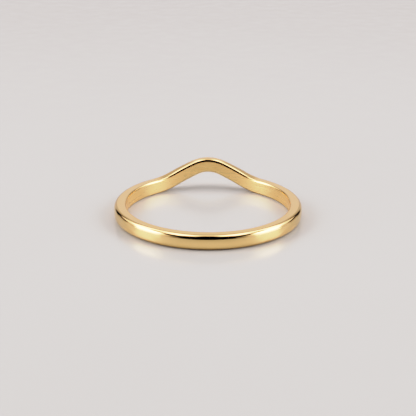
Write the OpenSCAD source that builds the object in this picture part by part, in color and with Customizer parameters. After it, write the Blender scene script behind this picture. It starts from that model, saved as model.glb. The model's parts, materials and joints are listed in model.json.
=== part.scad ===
/* [Finger] */
// Inside diameter, where the finger goes
finger_d = 17.35; // [15.7:0.05:19]

/* [Band section] */
// Width of the band, between its flat sides
band_w = 1.56; // [1.4:0.02:2]
// Thickness of the band, from the finger to the crest of its dome
band_t = 1.3; // [1.2:0.01:1.6]
// Radius of the low dome outside
dome_r = 3.2; // [2:0.1:4]
// Radius of the rounded shoulders between the dome and the sides
shoulder_r = 0.47; // [0.4:0.01:0.6]
// Radius of the soft edges beside the finger
edge_r = 0.23; // [0.15:0.01:0.3]
// Radius that these soft edges grow to at the tip of the arch
tip_edge_r = 0.36; // [0.3:0.01:0.4]

/* [Arch] */
// Height that the tip of the arch lifts the band above the plain shank
arch_rise = 1.88; // [1.8:0.02:3]
// Slope of the arch's straight flanks, in degrees
flank_slope = 23; // [18:0.1:30]
// Radius of the bend over the tip of the arch
tip_r = 3.9; // [2.5:0.1:5]
// Radius of the bend at each foot of the arch
foot_r = 6.9; // [4:0.1:8]

/* [Smoothness] */
// Longest step along the arch
arch_step = 0.2; // [0.15:0.05:0.4]
// Longest step along the plain stretch on each side of the arch
plain_step = 0.5; // [0.3:0.1:0.8]

/* [Hidden] */

gold = [0.86, 0.70, 0.42];
finger_r = finger_d / 2;
// The arch is drawn flat and then wrapped round the finger at the middle of the band's thickness
wrap_r = finger_r + band_t / 2;
round_fn = 180;
bore_margin = 1;

// The section lies in a plane through the ring's axis. Its points are [outwards from the finger,
// upwards from the middle of the width], and its arcs run into each other without a corner.
edge_steps = 3;
shoulder_steps = 7;
dome_steps = 3;
// Share of the soft edge's radius that stays outside the finger hole, which cuts across the rest
edge_share = 0.93;
dome_x = band_t - dome_r;
shoulder_z = band_w / 2 - shoulder_r;
shoulder_x = dome_x + sqrt(pow(dome_r - shoulder_r, 2) - pow(shoulder_z, 2));
dome_angle = atan2(shoulder_z, shoulder_x - dome_x);

// The path of the band's middle, unrolled flat: an arc over the tip, a straight flank, an arc at the
// foot and then the plain shank. Distances along it are counted from the tip.
bend_drop = (tip_r + foot_r) * (1 - cos(flank_slope));
flank_length = (arch_rise - bend_drop) / sin(flank_slope);
tip_end = tip_r * sin(flank_slope);
flank_end = tip_end + flank_length * cos(flank_slope);
arch_end = flank_end + foot_r * sin(flank_slope);
// Distance along the path for each degree round the finger, and the turn at which the arch ends
degree_length = wrap_r * PI / 180;
arch_turn = arch_end / degree_length;
quarter_turn = 90;

function arc(x, z, r, from, to, steps) =
    [for (i = [0:steps]) let (a = from + (to - from) * i / steps) [x + r * cos(a), z + r * sin(a)]];

function reversed(list) = [for (i = [len(list) - 1:-1:0]) list[i]];

function without_first(list) = [for (i = [1:len(list) - 1]) list[i]];

// Upper half of the section, from the finger's side round to the crest of the dome
function upper_half(edge) = concat(
    arc(edge_share * edge, band_w / 2 - edge, edge, 180, 90, edge_steps),
    arc(shoulder_x, shoulder_z, shoulder_r, 90, dome_angle, shoulder_steps),
    without_first(arc(dome_x, 0, dome_r, dome_angle, 0, dome_steps))
);

// The whole section, with the given radius at the soft edges
function section(edge) =
    let (upper = upper_half(edge))
    let (lower = [for (p = reversed(upper)) [p[0], -p[1]]])
    concat(upper, without_first(lower));

// Height of the path above the plain shank, at a distance from the tip
function rise(d) =
    d < tip_end ? arch_rise - tip_r + sqrt(pow(tip_r, 2) - pow(d, 2)) :
    d < flank_end ? arch_rise - tip_r * (1 - cos(flank_slope)) - (d - tip_end) * tan(flank_slope) :
    d < arch_end ? foot_r - sqrt(pow(foot_r, 2) - pow(arch_end - d, 2)) : 0;

// Angle by which the path falls, at a distance from the tip
function fall(d) =
    d < tip_end ? asin(d / tip_r) :
    d < flank_end ? flank_slope :
    d < arch_end ? asin((arch_end - d) / foot_r) : 0;

// Radius of the soft edges at a distance from the tip, which grows as the path rises
function edge_at(d) = edge_r + (tip_edge_r - edge_r) * rise(d) / arch_rise;

// A point of the section at a station, which is the turn round the finger in degrees. The tip of the
// arch is at the back, where the turn is 0, and the stations run to both sides of it.
function wrapped(station, p) =
    let (d = abs(station) * degree_length)
    let (lean = -sign(station) * fall(d))
    let (turn = station - p[1] * sin(lean) / degree_length)
    let (r = finger_r + p[0])
    [r * sin(turn), r * cos(turn), band_w / 2 + rise(d) + p[1] * cos(lean)];

// Stations after the first turn and up to the last one, none further apart than the longest step
function stations_between(first, last, longest) =
    let (n = ceil((last - first) * degree_length / longest))
    [for (i = [1:n]) first * (n - i) / n + last * i / n];

side_stations = concat(
    stations_between(0, arch_turn, arch_step),
    stations_between(arch_turn, quarter_turn, plain_step)
);
stations = concat([for (station = reversed(side_stations)) -station], [0], side_stations);

// Front half of the ring: the plain shank
module shank() {
    rotate([0, 0, 180])
        rotate_extrude(angle = 180, $fn = round_fn)
            polygon([for (p = section(edge_r)) [finger_r + p[0], band_w / 2 + p[1]]]);
}

// Back half of the ring: the arch, between two plain stretches
module arch() {
    n = len(section(edge_r));
    last = len(stations) - 1;
    points = [for (station = stations)
        each [for (p = section(edge_at(abs(station) * degree_length))) wrapped(station, p)]];
    sides = [for (i = [0:last - 1]) for (j = [0:n - 1]) let (k = (j + 1) % n)
        each [[i * n + j, i * n + k, (i + 1) * n + j], [i * n + k, (i + 1) * n + k, (i + 1) * n + j]]];
    first_end = [for (j = [n - 1:-1:0]) j];
    last_end = [for (j = [0:n - 1]) last * n + j];
    polyhedron(points, concat([first_end], sides, [last_end]), convexity = 6);
}

module finger_hole() {
    translate([0, 0, -bore_margin])
        cylinder(r = finger_r, h = band_w + arch_rise + 2 * bore_margin, $fn = round_fn);
}

module band() {
    color(gold)
        difference() {
            union() {
                shank();
                arch();
            }
            finger_hole();
        }
}

band();
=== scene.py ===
import json
from math import atan, cos, pi, radians, sin, sqrt

import bpy
import numpy as np
from mathutils import Matrix, Vector


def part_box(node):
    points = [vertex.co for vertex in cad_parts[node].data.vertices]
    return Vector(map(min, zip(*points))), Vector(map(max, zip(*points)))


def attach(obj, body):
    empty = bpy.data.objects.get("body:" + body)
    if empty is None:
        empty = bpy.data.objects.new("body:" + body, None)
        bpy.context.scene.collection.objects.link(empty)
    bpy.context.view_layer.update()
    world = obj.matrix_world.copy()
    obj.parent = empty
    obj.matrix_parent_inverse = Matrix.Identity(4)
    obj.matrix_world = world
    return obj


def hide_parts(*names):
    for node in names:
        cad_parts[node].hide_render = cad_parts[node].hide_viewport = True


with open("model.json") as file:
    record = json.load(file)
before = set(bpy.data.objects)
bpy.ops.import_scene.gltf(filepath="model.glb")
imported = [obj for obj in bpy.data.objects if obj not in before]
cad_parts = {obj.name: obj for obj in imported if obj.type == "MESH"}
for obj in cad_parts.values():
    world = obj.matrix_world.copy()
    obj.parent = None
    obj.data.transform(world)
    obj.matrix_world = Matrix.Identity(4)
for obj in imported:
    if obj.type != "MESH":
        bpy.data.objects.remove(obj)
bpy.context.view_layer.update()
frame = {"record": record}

MM = 0.001

# The ring, in metres. The finger hole and the height of the plain shank's middle are the record's,
# and the band's thickness and the arch's rise follow from the box of the solid.
finger_mount = next(m for m in frame["record"]["mounts"] if m["name"] == "finger")
box_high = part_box("band")[1]
FINGER_R = finger_mount["dims"]["r_mm"] * MM
BAND_W = 2 * finger_mount["pos_m"][2]
BAND_T = box_high.x - FINGER_R
ARCH_RISE = box_high.z - BAND_W
DOME_R = 3.2 * MM
SHOULDER_R = 0.47 * MM
EDGE_R = 0.23 * MM
TIP_EDGE_R = 0.36 * MM
TIP_R = 3.9 * MM
FOOT_R = 6.9 * MM
FLANK_SLOPE = radians(23)

# How finely the band is meshed
STATIONS = 780
WALL_STEPS = 4
EDGE_STEPS = 9
SIDE_STEPS = 3
SHOULDER_STEPS = 16
DOME_STEPS = 10
# Step of the slopes that the exact normals are worked out from
SLOPE_STEP = 1e-6 * MM

# The camera, aimed from the photograph's viewing angle. The ring's origin lies a little below the
# middle of the picture.
PICTURE = 416
FOCAL_PIXELS = 992.7
SENSOR = 36.0
CAMERA_DISTANCE = 106.0 * MM
CAMERA_ELEVATION = radians(20.8)
CAMERA_ROLL = radians(0.23)
ORIGIN_BELOW_MIDDLE = 6.9

# The gold. Where two values stand together, the surface's noise mixes them. Its turning marks run
# round the ring, so their noise is stretched in the ring's plane. The wall beside the finger is
# satin, and the satin fades into polish within the border, just outside the wall.
GOLD_COLOURS = ((0.98, 0.64, 0.25, 1), (0.98, 0.66, 0.27, 1))
POLISH_ROUGHNESS = (0.05, 0.09)
SATIN_ROUGHNESS = (0.24, 0.42)
SATIN_BORDER = EDGE_R / 8
HAZE_SCALE = 900.0
MARKS_SCALE = 14000.0
MARKS_STRETCH = (0.03, 0.03, 1.0)
MARKS_HEIGHT = 0.004 * MM
MARKS_ON_POLISH = 0.02
MARKS_ON_SATIN = 0.2
GOLD_NOISE_DETAIL = 3.0

# The floor, whose brightness clouds over by a small share, and the backdrop that the camera sees
FLOOR_HALF = 1.5
FLOOR_COLOUR = (0.455, 0.475, 0.462)
FLOOR_CLOUDS = (0.97, 1.0)
CLOUD_SCALE = 18.0
CLOUD_DETAIL = 4.0
FLOOR_ROUGHNESS = (0.16, 0.22)
FLOOR_GRAIN_SCALE = 300.0
BACKDROP_COLOUR = (0.72, 0.70, 0.69)

# Soft light by direction, the same on the left and on the right. Azimuth is measured from the
# camera's side and elevation from the horizon, in degrees. The camera's own side stays dark.
STUDIO_LIGHTS = (
    {"azimuth": (68, 103), "elevation": (23, 47), "blur": 10, "level": 8.0},
    {"azimuth": (66, 93), "elevation": (-30, 23), "blur": 10, "level": 3.4},
    {"azimuth": (93, 112), "elevation": (-30, 22), "blur": 8, "level": 0.7},
    {"azimuth": (108, 128), "elevation": (36, 54), "blur": 8, "level": 5.0},
    {"azimuth": (106, 137), "elevation": (23, 36), "blur": 8, "level": 1.5},
    {"azimuth": (58, 66), "elevation": (-30, 38), "blur": 8, "level": 2.8},
    {"azimuth": (50, 58), "elevation": (-30, 34), "blur": 8, "level": 0.9},
    {"azimuth": (44, 50), "elevation": (-30, 30), "blur": 6, "level": 0.45},
    {"azimuth": (35, 44), "elevation": (-30, 26), "blur": 8, "level": 0.2},
    {"azimuth": (80, 108), "elevation": (48, 60), "blur": 8, "level": 1.0},
    {"azimuth": (112, 132), "elevation": (-30, 8), "blur": 8, "level": 0.5},
    {"azimuth": (128, 150), "elevation": (36, 44), "blur": 8, "level": 0.9},
    {"azimuth": (128, 162), "elevation": (44, 66), "blur": 6, "level": 3.0},
    {"azimuth": (147, 200), "elevation": (-30, 28), "blur": 10, "level": 0.55},
    {"azimuth": (163, 200), "elevation": (12, 27), "blur": 6, "level": 0.3},
    {"azimuth": (150, 200), "elevation": (28, 48), "blur": 8, "level": 0.5},
    {"azimuth": (162, 200), "elevation": (48, 72), "blur": 8, "level": 0.85},
    {"azimuth": (50, 110), "elevation": (61, 82), "blur": 8, "level": 3.2},
    {"azimuth": (110, 148), "elevation": (66, 84), "blur": 8, "level": 4.8},
    {"azimuth": (148, 166), "elevation": (66, 100), "blur": 8, "level": 1.6},
    {"azimuth": (166, 200), "elevation": (72, 100), "blur": 8, "level": 1.4},
    {"azimuth": (28, 50), "elevation": (68, 100), "blur": 10, "level": 0.6},
)
LIGHT_TINT = (1.0, 0.9, 0.9)
# Light from below the horizon, past the floor's far edge, and the angle over which it sets in
FLOOR_GLOW = 0.6
HORIZON_BLUR = 2

# How the picture renders light: true up to the middle tones, then a soft shoulder towards white,
# as [light, display] with both in linear values
TONE_WHITE = 2.8
TONE_SHOULDER = ((0.55, 0.55), (0.85, 0.745), (1.33, 0.85), (2.0, 0.94))


def line(start, end, steps):
    """Points from start up to, but not including, end, with the direction of travel at each."""
    share = np.arange(steps) / steps
    points = np.outer(1 - share, start) + np.outer(share, end)
    return points, np.tile(np.subtract(end, start), (steps, 1))


def arc(centre, radius, start, end, steps):
    """Points on an arc from the angle start up to, but not including, end, turning clockwise."""
    angle = start + (end - start) * np.arange(steps) / steps
    spokes = np.stack([np.cos(angle), np.sin(angle)], axis=1)
    return centre + radius * spokes, np.stack([np.sin(angle), -np.cos(angle)], axis=1)


def band_section(edge_r):
    """The section as [outwards from the finger, upwards from its middle], with its tangents."""
    half_w = BAND_W / 2
    dome_x = BAND_T - DOME_R
    shoulder_z = half_w - SHOULDER_R
    shoulder_x = dome_x + sqrt((DOME_R - SHOULDER_R) ** 2 - shoulder_z ** 2)
    dome_angle = atan(shoulder_z / (shoulder_x - dome_x))
    runs = [
        line((0, 0), (0, half_w - edge_r), WALL_STEPS),
        arc((edge_r, half_w - edge_r), edge_r, pi, pi / 2, EDGE_STEPS),
        line((edge_r, half_w), (shoulder_x, half_w), SIDE_STEPS),
        arc((shoulder_x, shoulder_z), SHOULDER_R, pi / 2, dome_angle, SHOULDER_STEPS),
        arc((dome_x, 0), DOME_R, dome_angle, 0, DOME_STEPS),
    ]
    points = np.concatenate([run[0] for run in runs] + [[(BAND_T, 0)]])
    tangents = np.concatenate([run[1] for run in runs] + [[(0, -1)]])
    lower_points = points[-2:0:-1] * (1, -1)
    lower_tangents = tangents[-2:0:-1] * (-1, 1)
    tangents = np.concatenate([tangents, lower_tangents])
    tangents /= np.linalg.norm(tangents, axis=1)[:, None]
    return np.concatenate([points, lower_points]), tangents


def path(distance):
    """Rise of the band's middle over the plain shank and its fall angle, at distances from the tip."""
    bend_drop = (TIP_R + FOOT_R) * (1 - cos(FLANK_SLOPE))
    flank_length = (ARCH_RISE - bend_drop) / sin(FLANK_SLOPE)
    tip_end = TIP_R * sin(FLANK_SLOPE)
    flank_end = tip_end + flank_length * cos(FLANK_SLOPE)
    arch_end = flank_end + FOOT_R * sin(FLANK_SLOPE)
    on_tip = distance < tip_end
    on_flank = distance < flank_end
    on_foot = distance < arch_end
    across_tip = np.where(on_tip, distance, 0)
    across_foot = np.where(on_foot & ~on_flank, arch_end - distance, 0)
    tip_rise = ARCH_RISE - TIP_R + np.sqrt(TIP_R ** 2 - across_tip ** 2)
    flank_top = ARCH_RISE - TIP_R * (1 - cos(FLANK_SLOPE))
    flank_rise = flank_top - (distance - tip_end) * np.tan(FLANK_SLOPE)
    foot_rise = FOOT_R - np.sqrt(FOOT_R ** 2 - across_foot ** 2)
    rise = np.select([on_tip, on_flank], [tip_rise, flank_rise], foot_rise)
    tip_fall = np.arcsin(across_tip / TIP_R)
    foot_fall = np.arcsin(across_foot / FOOT_R)
    return rise, np.select([on_tip, on_flank], [tip_fall, FLANK_SLOPE], foot_fall)


def place(along, outwards, upwards):
    """Where a point of the section lies, once the path is wrapped round the finger.

    The distance along the path is 0 at the arch's tip, at the back, and grows to the right.
    """
    rise, fall = path(np.abs(along))
    lean = -np.sign(along) * fall
    turn = (along - upwards * np.sin(lean)) / (FINGER_R + BAND_T / 2)
    radius = FINGER_R + outwards
    height = BAND_W / 2 + rise + upwards * np.cos(lean)
    return np.stack([radius * np.sin(turn), radius * np.cos(turn), height], axis=-1)


def band_surface():
    """Points of the band and their exact normals, as grids of station by section point."""
    plain, plain_tangents = band_section(EDGE_R)
    tip, tip_tangents = band_section(TIP_EDGE_R)
    half_way_round = pi * (FINGER_R + BAND_T / 2)
    along = (np.arange(STATIONS) / STATIONS * 2 - 1)[:, None] * half_way_round

    def point(along, beside=0.0):
        """Section points at places along the path, moved by a share of their tangents."""
        share = path(np.abs(along))[0][..., None] / ARCH_RISE
        tangents = plain_tangents + share * (tip_tangents - plain_tangents)
        mixed = plain + share * (tip - plain) + beside * tangents
        return place(along, mixed[..., 0], mixed[..., 1])

    down_path = point(along + SLOPE_STEP) - point(along - SLOPE_STEP)
    round_section = point(along, SLOPE_STEP) - point(along, -SLOPE_STEP)
    normals = np.cross(down_path, round_section)
    normals /= np.linalg.norm(normals, axis=-1)[..., None]
    return point(along), normals


def make_band():
    points, normals = band_surface()
    stations, ring = points.shape[:2]
    i, j = np.meshgrid(np.arange(stations), np.arange(ring), indexing="ij")
    next_i, next_j = (i + 1) % stations, (j + 1) % ring
    corners = [i * ring + j, next_i * ring + j, next_i * ring + next_j, i * ring + next_j]
    faces = np.stack(corners, axis=-1).reshape(-1, 4)
    mesh = bpy.data.meshes.new("gold_band")
    mesh.from_pydata(points.reshape(-1, 3).tolist(), [], faces.tolist())
    mesh.shade_smooth()
    mesh.normals_split_custom_set_from_vertices(normals.reshape(-1, 3).tolist())
    band = bpy.data.objects.new("gold_band", mesh)
    bpy.context.scene.collection.objects.link(band)
    return band


def add_node(tree, kind, inputs=(), **settings):
    """A node with its settings, and its inputs joined to sockets or set to values."""
    node = tree.nodes.new(kind)
    for name, value in settings.items():
        setattr(node, name, value)
    for key, value in dict(inputs).items():
        if isinstance(value, bpy.types.NodeSocket):
            tree.links.new(value, node.inputs[key])
        else:
            node.inputs[key].default_value = value
    return node


def math_node(tree, operation, *values):
    inputs = dict(enumerate(values))
    return add_node(tree, "ShaderNodeMath", inputs, operation=operation).outputs[0]


def ramp(tree, value, start, end, low=0.0, high=1.0, kind="SMOOTHSTEP"):
    """low below start and high past end, with a soft change between the two."""
    inputs = {"Value": value, "From Min": start, "From Max": end, "To Min": low, "To Max": high}
    node = add_node(tree, "ShaderNodeMapRange", inputs, interpolation_type=kind, clamp=True)
    return node.outputs["Result"]


def spread(tree, value, low, high, reach=0.2):
    """low to high, in step with a noise that mostly stays within reach of one half."""
    return ramp(tree, value, 0.5 - reach, 0.5 + reach, low, high, "LINEAR")


def noise(tree, vector, scale, detail=2.0):
    inputs = {"Vector": vector, "Scale": scale, "Detail": detail}
    return add_node(tree, "ShaderNodeTexNoise", inputs).outputs["Fac"]


def new_material(name):
    material = bpy.data.materials.new(name)
    material.use_nodes = True
    tree = material.node_tree
    surface = tree.nodes["Principled BSDF"]
    return material, tree, surface


def gold_material():
    """Polished gold, mirror-like outside and slightly satin on the wall beside the finger."""
    material, tree, surface = new_material("polished_gold")
    place_in_frame = add_node(tree, "ShaderNodeTexCoord").outputs["Object"]
    parts = add_node(tree, "ShaderNodeSeparateXYZ", {0: place_in_frame})
    flat = add_node(tree, "ShaderNodeCombineXYZ", {0: parts.outputs[0], 1: parts.outputs[1]})
    radius = add_node(tree, "ShaderNodeVectorMath", {0: flat.outputs[0]}, operation="LENGTH")
    inside = ramp(tree, radius.outputs["Value"], FINGER_R + SATIN_BORDER, FINGER_R)

    # Fine turning marks run round the ring, and a polish haze lies over it all
    stretched = add_node(
        tree, "ShaderNodeMapping", {"Vector": place_in_frame, "Scale": MARKS_STRETCH}
    ).outputs["Vector"]
    marks = noise(tree, stretched, MARKS_SCALE, GOLD_NOISE_DETAIL)
    haze = noise(tree, place_in_frame, HAZE_SCALE, GOLD_NOISE_DETAIL)
    polish = spread(tree, haze, *POLISH_ROUGHNESS)
    satin = spread(tree, marks, *SATIN_ROUGHNESS)
    roughness = add_node(
        tree, "ShaderNodeMix", {"Factor": inside, "A": polish, "B": satin}, data_type="FLOAT"
    )
    tree.links.new(roughness.outputs["Result"], surface.inputs["Roughness"])

    strength = ramp(tree, inside, 0, 1, MARKS_ON_POLISH, MARKS_ON_SATIN, "LINEAR")
    bump = add_node(
        tree, "ShaderNodeBump", {"Height": marks, "Strength": strength, "Distance": MARKS_HEIGHT}
    )
    tree.links.new(bump.outputs["Normal"], surface.inputs["Normal"])

    tone = spread(tree, haze, 0, 1, 0.25)
    deep, light = GOLD_COLOURS
    colour = add_node(
        tree, "ShaderNodeMix", {"Factor": tone, "A": deep, "B": light}, data_type="RGBA"
    )
    tree.links.new(colour.outputs["Result"], surface.inputs["Base Color"])
    surface.inputs["Metallic"].default_value = 1.0
    return material


def floor_material():
    """Plain, pale and polished, with a hint of cloudiness."""
    material, tree, surface = new_material("pale_floor")
    place_in_frame = add_node(tree, "ShaderNodeTexCoord").outputs["Object"]
    level = spread(tree, noise(tree, place_in_frame, CLOUD_SCALE, CLOUD_DETAIL), *FLOOR_CLOUDS)
    colour = add_node(
        tree, "ShaderNodeVectorMath", {0: FLOOR_COLOUR, "Scale": level}, operation="SCALE"
    )
    tree.links.new(colour.outputs["Vector"], surface.inputs["Base Color"])
    roughness = spread(tree, noise(tree, place_in_frame, FLOOR_GRAIN_SCALE), *FLOOR_ROUGHNESS)
    tree.links.new(roughness, surface.inputs["Roughness"])
    return material


def make_floor():
    mesh = bpy.data.meshes.new("floor")
    corners = [(x * FLOOR_HALF, y * FLOOR_HALF, 0) for x, y in ((-1, -1), (1, -1), (1, 1), (-1, 1))]
    mesh.from_pydata(corners, [], [(0, 1, 2, 3)])
    mesh.materials.append(floor_material())
    floor = bpy.data.objects.new("floor", mesh)
    bpy.context.scene.collection.objects.link(floor)


def light_level(tree, azimuth, elevation, light):
    """One soft light as seen from the ring: its level inside its borders, fading over the blur."""
    blur = light["blur"] / 2
    edges = (
        (azimuth, light["azimuth"][0], 1),
        (azimuth, light["azimuth"][1], -1),
        (elevation, light["elevation"][0], 1),
        (elevation, light["elevation"][1], -1),
    )
    level = light["level"]
    for angle, edge, side in edges:
        mask = ramp(tree, angle, edge - side * blur, edge + side * blur)
        level = math_node(tree, "MULTIPLY", level, mask)
    return level


def make_studio():
    """A world that lights by direction, and that the camera sees as a plain pale backdrop."""
    world = bpy.data.worlds.new("studio")
    bpy.context.scene.world = world
    world.use_nodes = True
    tree = world.node_tree
    tree.nodes.clear()
    direction = add_node(tree, "ShaderNodeTexCoord").outputs["Generated"]
    parts = add_node(tree, "ShaderNodeSeparateXYZ", {0: direction}).outputs
    from_front = math_node(tree, "ARCTAN2", parts[0], math_node(tree, "MULTIPLY", parts[1], -1.0))
    azimuth = math_node(tree, "DEGREES", math_node(tree, "ABSOLUTE", from_front))
    elevation = math_node(tree, "DEGREES", math_node(tree, "ARCSINE", parts[2]))
    total = 0.0
    for light in STUDIO_LIGHTS:
        total = math_node(tree, "ADD", total, light_level(tree, azimuth, elevation, light))
    below = ramp(tree, elevation, 0, -HORIZON_BLUR)
    level = add_node(
        tree, "ShaderNodeMix", {"Factor": below, "A": total, "B": FLOOR_GLOW}, data_type="FLOAT"
    ).outputs["Result"]
    lit = add_node(tree, "ShaderNodeBackground", {"Color": (*LIGHT_TINT, 1), "Strength": level})
    seen = add_node(tree, "ShaderNodeBackground", {"Color": (*BACKDROP_COLOUR, 1)})
    to_camera = add_node(tree, "ShaderNodeLightPath").outputs["Is Camera Ray"]
    mix = add_node(tree, "ShaderNodeMixShader", {0: to_camera, 1: lit.outputs[0], 2: seen.outputs[0]})
    add_node(tree, "ShaderNodeOutputWorld", {"Surface": mix.outputs[0]})


def make_camera():
    data = bpy.data.cameras.new("camera")
    data.sensor_width = SENSOR
    data.lens = FOCAL_PIXELS / PICTURE * SENSOR
    data.clip_start = CAMERA_DISTANCE / 100
    data.clip_end = 4 * FLOOR_HALF
    camera = bpy.data.objects.new("camera", data)
    bpy.context.scene.collection.objects.link(camera)
    back = Vector((0, -cos(CAMERA_ELEVATION), sin(CAMERA_ELEVATION)))
    camera.location = back * CAMERA_DISTANCE
    aim_up = atan(ORIGIN_BELOW_MIDDLE / FOCAL_PIXELS)
    tilt = Matrix.Rotation(pi / 2 - CAMERA_ELEVATION + aim_up, 3, "X")
    camera.rotation_euler = (tilt @ Matrix.Rotation(CAMERA_ROLL, 3, "Z")).to_euler()
    bpy.context.scene.camera = camera


def set_tone():
    """Show light as it is up to the middle tones, and roll the highlights off softly."""
    view = bpy.context.scene.view_settings
    view.view_transform = "Standard"
    view.use_curve_mapping = True
    mapping = view.curve_mapping
    mapping.white_level = (TONE_WHITE,) * 3
    all_channels = mapping.curves[3]
    for light, display in TONE_SHOULDER:
        all_channels.points.new(light / TONE_WHITE, display)
    mapping.update()


make_studio()
make_floor()
make_camera()
set_tone()

gold_band = make_band()
gold_band.data.materials.append(gold_material())
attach(gold_band, "root")
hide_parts("band")
